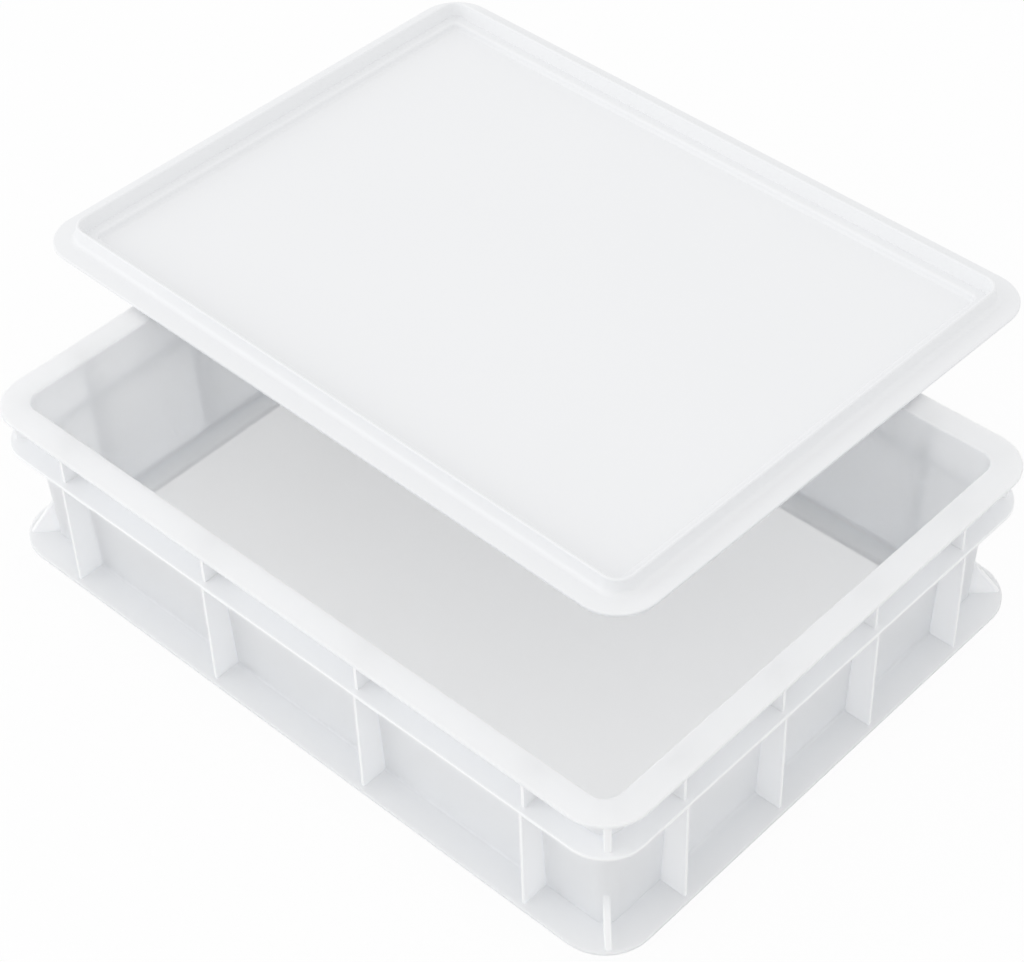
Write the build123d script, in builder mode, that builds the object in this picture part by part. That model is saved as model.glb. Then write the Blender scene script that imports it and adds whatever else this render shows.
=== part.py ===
from build123d import *
import math
import os

# Dough proofing container: a ribbed stacking tub, and a flat lid laid across its back rims.
# Lengths are in millimetres and angles in degrees.
# The origin is the middle of the tub's underside, X runs along the tub and Z points up.

# Tub, seen from above
rim_length = 400.0
rim_width = 300.0
rim_corner_radius = 23.0
rim_band = 14.75
opening_corner_radius = 8.5
lower_rim_inset = 1.5
base_corner_radius = 25.0

# Tub, heights
tub_height = 103.0
stack_depth = 15.0
rim_gap = 20.5

# Tub, walls
wall = 2.0
floor_thickness = 2.2
flange_thickness = 2.0
wall_draft = 2.5

# Tub, ribs between the flanges
rib_thickness = 1.8
ribs_per_side = 4
end_rib_inset = 52.3
rib_inset = 2.5
rim_rib_inset = 4.5
corner_rib_thickness = 3.2
gusset_height = 24.0
gusset_tip_inset = 1.3

# Tub, rounded edges
rim_edge_radius = 0.8
opening_edge_radius = 0.9
flange_chamfer = 0.4
floor_fillet = 3.0
foot_edge_radius = 4.0
rib_edge_radius = 0.5
rib_root_radius = 1.5
web_chamfer = 0.5

# Lid, seen from above: each inset is measured from the lid's outer edge
lid_overhang = 1.4
lid_corner_radius = 22.5
bead_foot_inset = 11.4
bead_crest_inset = 12.9
bead_crest_width = 1.5
bead_inner_inset = 16.4
step_inset = 21.7
pan_inset = 22.6
pan_corner_radius = 2.0
lid_play = 2.0

# Lid, heights from the top of its flange
bead_height = 8.2
ledge_rise = 0.7
pan_drop = 2.8
lid_thickness = 2.0
plug_draft = 0.8

# Lid, rounded edges
lid_edge_radius = 0.8
crest_chamfer = 0.5
bead_root_radius = 3.0
ledge_edge_radius = 1.5
pan_fillet = 1.5
lid_chamfer = 0.5

# Lid, where it lies on the rim: shifted from its seat over the opening and turned a little
lid_shift_x = -69.0
lid_shift_y = 92.6
lid_turn = -1.1
lid_gap = 0.1

# Sizes that follow from the ones above
opening_length = rim_length - 2 * rim_band
opening_width = rim_width - 2 * rim_band
lower_rim_length = rim_length - 2 * lower_rim_inset
lower_rim_width = rim_width - 2 * lower_rim_inset
lower_rim_corner_radius = rim_corner_radius - lower_rim_inset
rim_level = tub_height - flange_thickness
lower_rim_level = rim_level - rim_gap - flange_thickness
base_top = stack_depth + flange_thickness
lower_rim_top = lower_rim_level + flange_thickness
long_pitch = (rim_length - 2 * end_rib_inset) / (ribs_per_side - 1)
short_pitch = (rim_width - 2 * end_rib_inset) / (ribs_per_side - 1)
lid_length = rim_length + 2 * lid_overhang
lid_width = rim_width + 2 * lid_overhang
plug_inset = lid_overhang + rim_band + lid_play
plug_depth = pan_drop + lid_thickness
tray_depth = bead_height - ledge_rise
tray_run = bead_inner_inset - bead_crest_inset - bead_crest_width
pan_depth = ledge_rise + pan_drop
lid_level = tub_height + lid_gap + plug_depth
lid_plane = Plane(origin=(lid_shift_x, lid_shift_y, lid_level)).rotated((0, 0, lid_turn))


def draft_at(level):
    """How far the drafted wall has come in at a level below the rim."""
    return (tub_height - level) * math.tan(math.radians(wall_draft))


def slope(run, rise):
    """The angle from upright of a wall that goes out by this run over this rise."""
    return math.degrees(math.atan2(run, rise))


def wall_plan(level, thickness):
    """Draws the plan of the wall at a level, this thickness outside the tub's inner face."""
    grow = thickness - draft_at(level)
    RectangleRounded(
        opening_length + 2 * grow,
        opening_width + 2 * grow,
        opening_corner_radius + grow,
    )


def lid_plan(inset, corner_radius):
    """Draws a plan of the lid, set in from its outer edge."""
    RectangleRounded(lid_length - 2 * inset, lid_width - 2 * inset, corner_radius)


def lid_corner(inset):
    """The corner radius of a line that runs parallel to the lid's outer edge."""
    return max(lid_corner_radius - inset, pan_corner_radius)


def corner_planes(length, width, radius, level):
    """Upright planes through the four rounded corners, each with X pointing out of its corner."""
    planes = []
    for side_x in (-1, 1):
        for side_y in (-1, 1):
            centre = (side_x * (length / 2 - radius), side_y * (width / 2 - radius), level)
            planes.append(Plane(origin=centre, x_dir=(side_x, side_y, 0), z_dir=(side_y, -side_x, 0)))
    return planes


def flange(length, width, corner_radius, level, rounded_top=False):
    """A level plate with rounded corners, whose edges are chamfered, or rounded on top."""
    with BuildPart() as plate:
        with BuildSketch(Plane.XY.offset(level)):
            RectangleRounded(length, width, corner_radius)
        extrude(amount=flange_thickness)
        if rounded_top:
            fillet(plate.edges().group_by(Axis.Z)[-1], radius=rim_edge_radius)
        else:
            chamfer(plate.edges().group_by(Axis.Z)[-1], length=flange_chamfer)
        chamfer(plate.edges().group_by(Axis.Z)[0], length=flange_chamfer)
    return plate.part


def corner_web(plane, outline):
    """An upright web at a corner, whose outline starts at the corner's axis, with a chamfered outer edge."""
    with BuildPart() as web:
        with BuildSketch(plane):
            with BuildLine():
                Polyline(*outline, close=True)
            make_face()
        extrude(amount=corner_rib_thickness / 2, both=True)
        outer_face = web.faces().sort_by(lambda face: (face.center() - plane.origin).dot(plane.x_dir))[-1]
        long_edges = outer_face.edges().sort_by(SortBy.LENGTH)[-2:]
        chamfer(long_edges, length=web_chamfer)
    return web.part


rim_plate = flange(rim_length, rim_width, rim_corner_radius, rim_level, rounded_top=True)
lower_rim_plate = flange(lower_rim_length, lower_rim_width, lower_rim_corner_radius, lower_rim_level)
base_plate = flange(rim_length, rim_width, base_corner_radius, stack_depth)

rim_rib_reach = rim_corner_radius - rim_rib_inset
rim_rib_outline = ((0, 0), (rim_rib_reach, 0), (rim_rib_reach, rim_gap), (0, rim_gap))
gusset_outline = (
    (0, 0),
    (base_corner_radius - gusset_tip_inset, 0),
    (opening_corner_radius + wall - draft_at(base_top + gusset_height), gusset_height),
    (0, gusset_height),
)
corner_webs = [
    corner_web(plane, rim_rib_outline)
    for plane in corner_planes(rim_length, rim_width, rim_corner_radius, lower_rim_top)
]
corner_webs += [
    corner_web(plane, gusset_outline)
    for plane in corner_planes(rim_length, rim_width, base_corner_radius, base_top)
]

# Tub
with BuildPart() as tub:
    # Drafted body with its rounded foot, still solid
    with BuildSketch(Plane.XY):
        wall_plan(0, wall)
    extrude(amount=tub_height, taper=-wall_draft)
    fillet(tub.edges().group_by(Axis.Z)[0], radius=foot_edge_radius)

    # Rim, lower rim and base flange, with the diagonal webs at the corners
    add([rim_plate, lower_rim_plate, base_plate])
    add(corner_webs)

    # Tall ribs from the base flange to the lower rim, with rounded outer edges
    with BuildSketch(Plane.XY.offset(base_top)):
        with GridLocations(long_pitch, 0, ribs_per_side, 1):
            RectangleRounded(rib_thickness, rim_width - 2 * rib_inset, rib_edge_radius)
        with GridLocations(0, short_pitch, 1, ribs_per_side):
            RectangleRounded(rim_length - 2 * rib_inset, rib_thickness, rib_edge_radius)
    extrude(amount=lower_rim_level - base_top)
    rib_roots = tub.edges(Select.LAST).sort_by(SortBy.LENGTH)[-8 * ribs_per_side:]
    fillet(rib_roots, radius=rib_root_radius)

    # Short ribs above them, from the lower rim to the rim
    with BuildSketch(Plane.XY.offset(lower_rim_top)):
        with GridLocations(long_pitch, 0, ribs_per_side, 1):
            Rectangle(rib_thickness, rim_width - 2 * rim_rib_inset)
        with GridLocations(0, short_pitch, 1, ribs_per_side):
            Rectangle(rim_length - 2 * rim_rib_inset, rib_thickness)
    extrude(amount=rim_gap)

    # Inside, down to the floor
    with BuildSketch(Plane.XY.offset(floor_thickness)):
        wall_plan(floor_thickness, 0)
    extrude(amount=tub_height - floor_thickness, taper=-wall_draft, mode=Mode.SUBTRACT)
    inside_edges = tub.edges(Select.LAST).group_by(Axis.Z)
    fillet(inside_edges[-1], radius=opening_edge_radius)
    fillet(inside_edges[0], radius=floor_fillet)

tub.part.label = "tub"

# Lid
with BuildPart() as lid:
    # Flange with softened edges, and the raised bead that stands on it
    with BuildSketch(lid_plane.offset(-lid_thickness)):
        lid_plan(0, lid_corner_radius)
    extrude(amount=lid_thickness)
    fillet(lid.edges().group_by(Axis.Z)[-1], radius=lid_edge_radius)
    chamfer(lid.edges().group_by(Axis.Z)[0], length=lid_chamfer)
    with BuildSketch(lid_plane):
        lid_plan(bead_foot_inset, lid_corner(bead_foot_inset))
    extrude(amount=bead_height, taper=slope(bead_crest_inset - bead_foot_inset, bead_height))
    fillet(lid.edges(Select.LAST).group_by(Axis.Z)[0], radius=bead_root_radius)

    # Plug that drops into the tub's opening
    with BuildSketch(lid_plane.offset(-plug_depth)):
        lid_plan(plug_inset + plug_draft, lid_corner(plug_inset + plug_draft))
    extrude(amount=pan_drop, taper=-slope(plug_draft, pan_drop))
    chamfer(lid.edges().group_by(Axis.Z)[0], length=lid_chamfer)

    # Tray inside the bead, down to its ledge
    with BuildSketch(lid_plane.offset(ledge_rise)):
        lid_plan(bead_inner_inset, lid_corner(bead_inner_inset))
    extrude(amount=tray_depth, taper=-slope(tray_run, tray_depth), mode=Mode.SUBTRACT)
    chamfer(lid.edges().group_by(Axis.Z)[-1], length=crest_chamfer)

    # Flat pan below the ledge
    with BuildSketch(lid_plane.offset(-pan_drop)):
        lid_plan(pan_inset, pan_corner_radius)
    extrude(amount=pan_depth, taper=-slope(pan_inset - step_inset, pan_depth), mode=Mode.SUBTRACT)
    pan_edges = lid.edges(Select.LAST).group_by(Axis.Z)
    fillet(pan_edges[-1], radius=ledge_edge_radius)
    fillet(pan_edges[0], radius=pan_fillet)

lid.part.label = "lid"

# One file for each piece
os.makedirs("parts", exist_ok=True)
export_step(tub.part, "parts/tub.step")
export_step(lid.part, "parts/lid.step")
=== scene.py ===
"""Dresses the dough proofing container: its two moulded pieces, their plastic, the studio and the camera."""
import logging
import math
from dataclasses import dataclass, field
from enum import Enum

import bpy
from mathutils import Matrix, Vector

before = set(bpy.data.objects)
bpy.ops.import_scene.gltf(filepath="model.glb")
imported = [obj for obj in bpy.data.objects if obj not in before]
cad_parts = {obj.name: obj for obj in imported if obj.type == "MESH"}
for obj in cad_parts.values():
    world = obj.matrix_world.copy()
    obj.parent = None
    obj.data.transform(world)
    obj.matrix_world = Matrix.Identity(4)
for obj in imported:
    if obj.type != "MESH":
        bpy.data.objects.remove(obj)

LOG = logging.getLogger("dough_container")
MM = 0.001

Colour = tuple[float, float, float, float]
WHITE: Colour = (1.0, 1.0, 1.0, 1.0)
EVEN_REACH = (1.0, 1.0, 1.0)
# A Mix node's sockets for colours: the share, the first colour and the second, and the mixed colour.
MIX_INPUTS = (0, 6, 7)
MIX_OUTPUT = 2


class Moulding(Enum):
    """The container's two moulded pieces, each with the name of its node in the frame."""

    TUB = "tub"
    LID = "lid"


def towards(azimuth: float, elevation: float) -> Vector:
    """Gives the direction from the container to a viewer or a lamp.

    Args:
        azimuth: The turn about Z in degrees, from 0 in front of the near long side towards +X.
        elevation: The height above the floor in degrees.

    Returns:
        A vector of length one.
    """
    turn, rise = math.radians(azimuth), math.radians(elevation)
    return Vector((math.sin(turn) * math.cos(rise), -math.cos(turn) * math.cos(rise), math.sin(rise)))


@dataclass
class Wiring:
    """Adds nodes to a node tree and joins them."""

    tree: bpy.types.NodeTree

    def add(self, kind: str, **settings: object) -> bpy.types.Node:
        """Adds a node.

        Args:
            kind: The node's type name, without a leading "ShaderNode".
            **settings: Node properties to set.

        Returns:
            The new node.
        """
        node = self.tree.nodes.new(kind if kind.startswith("Node") else f"ShaderNode{kind}")
        for name, value in settings.items():
            setattr(node, name, value)
        return node

    def join(self, source: bpy.types.NodeSocket, target: bpy.types.NodeSocket) -> None:
        """Links an output socket to an input socket."""
        self.tree.links.new(source, target)

    def feed(self, socket: bpy.types.NodeSocket, value: object) -> None:
        """Sets an input socket.

        Args:
            socket: The input socket.
            value: A value, or an output socket to link.
        """
        if isinstance(value, bpy.types.NodeSocket):
            self.join(value, socket)
        else:
            socket.default_value = value

    def set(self, node: bpy.types.Node, **values: object) -> None:
        """Sets a node's inputs, whose names have underscores for spaces.

        Args:
            node: The node to set.
            **values: Input names and their values, or output sockets to link to them.
        """
        for name, value in values.items():
            self.feed(node.inputs[name.replace("_", " ")], value)

    def calculate(self, operation: str, *values: object) -> bpy.types.NodeSocket:
        """Adds a math node.

        Args:
            operation: What the node does with its values.
            *values: Numbers, or output sockets to link.

        Returns:
            The socket with the result.
        """
        node = self.add("Math", operation=operation)
        for socket, value in zip(node.inputs, values):
            self.feed(socket, value)
        return node.outputs[0]

    def span(
        self, value: bpy.types.NodeSocket, low: float, high: float, **to: object
    ) -> bpy.types.NodeSocket:
        """Maps the span from low to high onto 0 to 1, or onto another span.

        Args:
            value: The socket to map.
            low: The value that gives the new span's start.
            high: The value that gives the new span's end.
            **to: The new span, as To_Min and To_Max.

        Returns:
            The socket with the mapped value.
        """
        node = self.add("MapRange")
        self.set(node, Value=value, From_Min=low, From_Max=high, **to)
        return node.outputs["Result"]

    def blend(self, share: bpy.types.NodeSocket, first: object, second: object) -> bpy.types.NodeSocket:
        """Mixes two colours.

        Args:
            share: The second colour's share, from 0 to 1.
            first: The colour where the share is 0.
            second: The colour where the share is 1.

        Returns:
            The socket with the mixed colour.
        """
        node = self.add("Mix", data_type="RGBA")
        for index, value in zip(MIX_INPUTS, (share, first, second)):
            self.feed(node.inputs[index], value)
        return node.outputs[MIX_OUTPUT]


@dataclass(frozen=True)
class Noise:
    """A noise pattern of the skin."""

    per_metre: float
    detail: float
    roughness: float = 0.5

    def wire(self, wiring: Wiring, place: bpy.types.NodeSocket) -> bpy.types.NodeSocket:
        """Adds the pattern to a node tree.

        Args:
            wiring: The node tree.
            place: The coordinates that the pattern is laid over.

        Returns:
            The socket with the pattern, from 0 to 1.
        """
        node = wiring.add("TexNoise")
        wiring.set(node, Vector=place, Scale=self.per_metre, Detail=self.detail, Roughness=self.roughness)
        return node.outputs["Fac"]


@dataclass(frozen=True)
class MouldedSkin:
    """The surface that a steel mould leaves on white plastic, as a node group that both pieces use."""

    name: str = "moulded_skin"
    clouds: Noise = Noise(per_metre=11.0, detail=3.0, roughness=0.45)
    waves: Noise = Noise(per_metre=16.0, detail=1.0)
    grain: Noise = Noise(per_metre=1900.0, detail=2.0)
    streaks: Noise = Noise(per_metre=60.0, detail=2.0)
    grain_share: float = 0.06
    gloss_span: tuple[float, float] = (0.3, 0.7)
    scuff_span: tuple[float, float] = (0.66, 0.74)
    scuff_stretch: float = 26.0
    scuff_turn: float = 0.6
    scuff_roughness: float = 0.2

    def group(self) -> bpy.types.NodeTree:
        """Builds the group once, and gives the same one after that.

        Returns:
            The node group, with colour, roughness and height outputs.
        """
        if self.name in bpy.data.node_groups:
            return bpy.data.node_groups[self.name]
        tree = bpy.data.node_groups.new(self.name, "ShaderNodeTree")
        self.add_sockets(tree.interface)
        wiring = Wiring(tree)
        inputs = wiring.add("NodeGroupInput").outputs
        outputs = wiring.add("NodeGroupOutput").inputs
        place = wiring.add("TexCoord").outputs["Object"]
        clouds = self.clouds.wire(wiring, place)
        wiring.join(self.colour(wiring, inputs, clouds), outputs["Colour"])
        wiring.join(self.roughness(wiring, inputs, clouds, place), outputs["Roughness"])
        wiring.join(self.height(wiring, place), outputs["Height"])
        return tree

    def add_sockets(self, interface: bpy.types.NodeTreeInterface) -> None:
        """Adds the group's inputs and outputs."""
        for name in ("Pale", "Deep"):
            interface.new_socket(name, in_out="INPUT", socket_type="NodeSocketColor")
        for name in ("Smooth", "Rough", "Scuffs"):
            interface.new_socket(name, in_out="INPUT", socket_type="NodeSocketFloat")
        interface.new_socket("Colour", in_out="OUTPUT", socket_type="NodeSocketColor")
        for name in ("Roughness", "Height"):
            interface.new_socket(name, in_out="OUTPUT", socket_type="NodeSocketFloat")

    def colour(
        self, wiring: Wiring, inputs: bpy.types.NodeOutputs, clouds: bpy.types.NodeSocket
    ) -> bpy.types.NodeSocket:
        """Clouds the plastic faintly, between its pale and its deep colour.

        Args:
            wiring: The group's node tree.
            inputs: The group's inputs.
            clouds: The socket with the clouds.

        Returns:
            The socket with the colour.
        """
        return wiring.blend(clouds, inputs["Pale"], inputs["Deep"])

    def roughness(
        self,
        wiring: Wiring,
        inputs: bpy.types.NodeOutputs,
        clouds: bpy.types.NodeSocket,
        place: bpy.types.NodeSocket,
    ) -> bpy.types.NodeSocket:
        """Varies the gloss with the clouds, and dulls it along fine scuffs.

        Args:
            wiring: The group's node tree.
            inputs: The group's inputs.
            clouds: The socket with the clouds.
            place: The coordinates that the scuffs are laid over.

        Returns:
            The socket with the roughness.
        """
        turned = wiring.add("Mapping")
        stretch = (1.0, self.scuff_stretch, self.scuff_stretch)
        wiring.set(turned, Vector=place, Rotation=(0.0, 0.0, self.scuff_turn), Scale=stretch)
        hairlines = wiring.span(self.streaks.wire(wiring, turned.outputs["Vector"]), *self.scuff_span)
        scuffs = wiring.calculate("MULTIPLY", hairlines, inputs["Scuffs"])
        gloss = wiring.span(clouds, *self.gloss_span, To_Min=inputs["Smooth"], To_Max=inputs["Rough"])
        return wiring.calculate("MULTIPLY_ADD", scuffs, self.scuff_roughness, gloss)

    def height(self, wiring: Wiring, place: bpy.types.NodeSocket) -> bpy.types.NodeSocket:
        """Lays a fine grain over slow waves.

        Args:
            wiring: The group's node tree.
            place: The coordinates that both are laid over.

        Returns:
            The socket with the height.
        """
        grain = self.grain.wire(wiring, place)
        waves = self.waves.wire(wiring, place)
        return wiring.calculate("MULTIPLY_ADD", grain, self.grain_share, waves)


@dataclass(frozen=True)
class ThinShell:
    """Where light wanders through the tub: most below its base flange, and not at all in its ribs. It also
    paints shade into the tub's colour: darker and cooler on the floor and foot, darker and greyer on the
    ribs.

    The walls stand at wall_sides at the tub's underside, and lean outwards from there.
    """

    # Painted shade: the tub's floor and foot, below foot_top, in a darker and cooler copy of the same
    # plastic.
    foot_painted_shade: Colour = (0.915, 0.953, 0.998, 1.0)
    # Painted shade: the ribs in a darker and greyer copy of the wall's plastic.
    rib_painted_shade: Colour = (0.955, 0.96, 0.967, 1.0)
    foot_translucency: float = 1.0
    wall_translucency: float = 0.75
    foot_top: tuple[float, float] = (14.0 * MM, 16.0 * MM)
    wall_sides: tuple[float, float] = (182.75 * MM, 132.75 * MM)
    wall_lean: float = 0.04366
    rib_root: tuple[float, float] = (0.4 * MM, 1.6 * MM)
    rib_middle: float = 59.0 * MM
    rib_end: tuple[float, float] = (41.6 * MM, 42.0 * MM)

    def ribs(self, wiring: Wiring, place: bpy.types.NodeOutputs) -> bpy.types.NodeSocket:
        """Finds the ribs, which stand outside the leaning walls and between the flanges.

        Args:
            wiring: The material's node tree.
            place: The three coordinates.

        Returns:
            The socket with 1 at the ribs and 0 elsewhere.
        """
        along, across, height = place
        past_length, past_width = (
            wiring.calculate("SUBTRACT", wiring.calculate("ABSOLUTE", axis), side)
            for axis, side in zip((along, across), self.wall_sides)
        )
        farther = wiring.calculate("MAXIMUM", past_length, past_width)
        outside = wiring.calculate("MULTIPLY_ADD", height, -self.wall_lean, farther)
        off_middle = wiring.calculate("ABSOLUTE", wiring.calculate("SUBTRACT", height, self.rib_middle))
        between_flanges = wiring.span(off_middle, *self.rib_end, To_Min=1.0, To_Max=0.0)
        return wiring.calculate("MULTIPLY", wiring.span(outside, *self.rib_root), between_flanges)

    def wire(
        self, wiring: Wiring, colour: bpy.types.NodeSocket
    ) -> tuple[bpy.types.NodeSocket, bpy.types.NodeSocket]:
        """Paints shade into the colour, darker and cooler on the floor and foot and darker and greyer on the
        ribs, and sets how translucent each part of the tub is.

        Args:
            wiring: The material's node tree.
            colour: The socket with the skin's colour.

        Returns:
            The sockets with the colour, painted shade included, and with the translucency, from 0 to 1.
        """
        axes = wiring.add("SeparateXYZ")
        wiring.join(wiring.add("TexCoord").outputs["Object"], axes.inputs[0])
        ribs = self.ribs(wiring, axes.outputs)
        above_foot = wiring.span(axes.outputs["Z"], *self.foot_top)
        # Painted shade: below foot_top the tub's floor and foot turn darker and cooler than the same plastic
        # above.
        with_foot_shade = wiring.blend(above_foot, self.foot_painted_shade, colour)
        shell = wiring.span(
            above_foot, 0.0, 1.0, To_Min=self.foot_translucency, To_Max=self.wall_translucency
        )
        translucency = wiring.calculate("MULTIPLY", shell, wiring.calculate("SUBTRACT", 1.0, ribs))
        # Painted shade: the ribs turn darker and greyer than the walls.
        return wiring.blend(ribs, with_foot_shade, self.rib_painted_shade), translucency


@dataclass(frozen=True)
class WhitePlastic:
    """A white satin moulded plastic."""

    name: str
    pale: Colour
    deep: Colour
    smooth: float
    rough: float
    scuffs: float
    shell: ThinShell | None = None
    light_reach: float = 22.0 * MM
    bump_height: float = 0.12 * MM
    refraction: float = 1.49
    skin: MouldedSkin = field(default_factory=MouldedSkin)

    def material(self) -> bpy.types.Material:
        """Builds the finish as a material.

        Returns:
            The new material.
        """
        material = bpy.data.materials.new(self.name)
        material.use_nodes = True
        wiring = Wiring(material.node_tree)
        shader = material.node_tree.nodes["Principled BSDF"]
        surface = wiring.add("Group", node_tree=self.skin.group())
        wiring.set(
            surface, Pale=self.pale, Deep=self.deep, Smooth=self.smooth, Rough=self.rough, Scuffs=self.scuffs
        )
        colour, translucency = surface.outputs["Colour"], 0.0
        if self.shell:
            # For the tub, the shell adds painted shade to the colour, on the floor and foot and on the ribs.
            colour, translucency = self.shell.wire(wiring, colour)
        bump = wiring.add("Bump")
        wiring.set(bump, Strength=1.0, Distance=self.bump_height, Height=surface.outputs["Height"])
        wiring.set(
            shader,
            Base_Color=colour,
            Roughness=surface.outputs["Roughness"],
            Normal=bump.outputs["Normal"],
            IOR=self.refraction,
            Subsurface_Weight=translucency,
            Subsurface_Radius=EVEN_REACH,
            Subsurface_Scale=self.light_reach,
        )
        return material


@dataclass
class MouldedPiece:
    """A moulded piece: its solid as it is, in the finish of its plastic."""

    moulding: Moulding
    finish: WhitePlastic

    def dress(self) -> bpy.types.Object:
        """Gives the piece its finish.

        Returns:
            The dressed piece.
        """
        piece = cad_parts[self.moulding.value]
        piece.data.materials.clear()
        piece.data.materials.append(self.finish.material())
        LOG.info("%s: %d faces in %s", piece.name, len(piece.data.polygons), self.finish.name)
        return piece


@dataclass
class Viewpoint:
    """The camera at the photograph's place, looking down on the container's near corner."""

    azimuth: float = 44.41
    elevation: float = 43.60
    roll: float = -2.15
    distance: float = 1305.1 * MM
    target: tuple[float, float, float] = (-36.1 * MM, 43.0 * MM, 16.6 * MM)
    lens: float = 90.66
    sensor: float = 36.0

    def build(self) -> bpy.types.Object:
        """Makes the scene's camera.

        Returns:
            The camera object.
        """
        back = towards(self.azimuth, self.elevation)
        tip = math.radians(self.roll)
        level = (-back).cross(Vector((0.0, 0.0, 1.0))).normalized()
        upright = level.cross(-back)
        right = level * math.cos(tip) + upright * math.sin(tip)
        up = upright * math.cos(tip) - level * math.sin(tip)
        data = bpy.data.cameras.new("camera")
        data.lens = self.lens
        data.sensor_width = self.sensor
        camera = bpy.data.objects.new("camera", data)
        turned = Matrix((right, up, back)).transposed().to_4x4()
        camera.matrix_world = Matrix.Translation(Vector(self.target) + back * self.distance) @ turned
        bpy.context.scene.collection.objects.link(camera)
        bpy.context.scene.camera = camera
        return camera


@dataclass
class Studio:
    """A white floor and soft light from all round, with one broad lamp low on the left.

    The floor lies a hair above the tub's underside, so the tub's floor is lit from below as well.
    """

    floor_size: float = 8.0
    floor_level: float = 0.3 * MM
    floor_colour: Colour = (0.86, 0.86, 0.86, 1.0)
    floor_roughness: float = 0.9
    floor_shine: float = 0.1
    floor_lift: float = 0.95
    sky: float = 0.93
    key_power: float = 13.0
    key_size: float = 2.0
    key_azimuth: float = -40.0
    key_elevation: float = 22.0
    key_distance: float = 3.0

    def build(self) -> None:
        """Makes the floor, the sky and the lamp."""
        self.build_floor()
        self.build_sky()
        self.build_key()
        bpy.context.scene.view_settings.view_transform = "Standard"

    def build_floor(self) -> bpy.types.Object:
        """Makes the floor, which shows white to the camera and keeps a soft shadow.

        Returns:
            The floor object.
        """
        bpy.ops.mesh.primitive_plane_add(size=self.floor_size, location=(0.0, 0.0, self.floor_level))
        floor = bpy.context.object
        floor.name = "floor"
        material = bpy.data.materials.new("white_floor")
        material.use_nodes = True
        wiring = Wiring(material.node_tree)
        matt = material.node_tree.nodes["Principled BSDF"]
        wiring.set(
            matt,
            Base_Color=self.floor_colour,
            Roughness=self.floor_roughness,
            Specular_IOR_Level=self.floor_shine,
        )
        white = wiring.add("Emission")
        wiring.set(white, Color=WHITE, Strength=1.0)
        lift = wiring.calculate("MULTIPLY", self.seen_rays(wiring), self.floor_lift)
        mix = wiring.add("MixShader")
        for socket, source in zip(mix.inputs, (lift, matt.outputs[0], white.outputs[0])):
            wiring.join(source, socket)
        wiring.join(mix.outputs[0], material.node_tree.nodes["Material Output"].inputs["Surface"])
        floor.data.materials.append(material)
        return floor

    def seen_rays(self, wiring: Wiring) -> bpy.types.NodeSocket:
        """Gives 1 for rays that show the background: the camera's, and those seen in gloss or through glass.

        Args:
            wiring: The node tree that the answer is for.

        Returns:
            The socket with the answer.
        """
        path = wiring.add("LightPath").outputs
        seen = wiring.calculate("MAXIMUM", path["Is Camera Ray"], path["Is Glossy Ray"])
        return wiring.calculate("MAXIMUM", seen, path["Is Transmission Ray"])

    def build_sky(self) -> None:
        """Lights the scene from all round, with white behind the object."""
        world = bpy.data.worlds.new("soft_sky")
        bpy.context.scene.world = world
        world.use_nodes = True
        wiring = Wiring(world.node_tree)
        background = world.node_tree.nodes["Background"]
        strength = wiring.span(self.seen_rays(wiring), 0.0, 1.0, To_Min=self.sky, To_Max=1.0)
        wiring.set(background, Color=WHITE, Strength=strength)

    def build_key(self) -> bpy.types.Object:
        """Makes the broad lamp.

        Returns:
            The lamp object.
        """
        data = bpy.data.lights.new("key_lamp", "AREA")
        data.shape = "SQUARE"
        data.size = self.key_size
        data.energy = self.key_power
        lamp = bpy.data.objects.new("key_lamp", data)
        place = towards(self.key_azimuth, self.key_elevation) * self.key_distance
        lamp.matrix_world = Matrix.Translation(place) @ place.to_track_quat("Z", "Y").to_matrix().to_4x4()
        bpy.context.scene.collection.objects.link(lamp)
        return lamp


FINISHES: dict[Moulding, WhitePlastic] = {
    Moulding.TUB: WhitePlastic(
        name="tub_plastic",
        pale=(0.961, 0.975, 0.997, 1.0),
        deep=(0.951, 0.966, 0.99, 1.0),
        smooth=0.34,
        rough=0.44,
        scuffs=0.5,
        # The shell paints shade into the tub's colour on its floor, foot and ribs.
        shell=ThinShell(),
    ),
    Moulding.LID: WhitePlastic(
        name="lid_plastic",
        pale=(0.9, 0.907, 0.919, 1.0),
        deep=(0.888, 0.896, 0.908, 1.0),
        smooth=0.36,
        rough=0.46,
        scuffs=0.3,
    ),
}


def main() -> None:
    """Builds the pieces, the studio and the camera."""
    logging.basicConfig(level=logging.INFO, format="%(message)s")
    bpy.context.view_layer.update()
    Viewpoint().build()
    for moulding, finish in FINISHES.items():
        MouldedPiece(moulding, finish).dress()
    Studio().build()


if __name__ == "__main__":
    main()
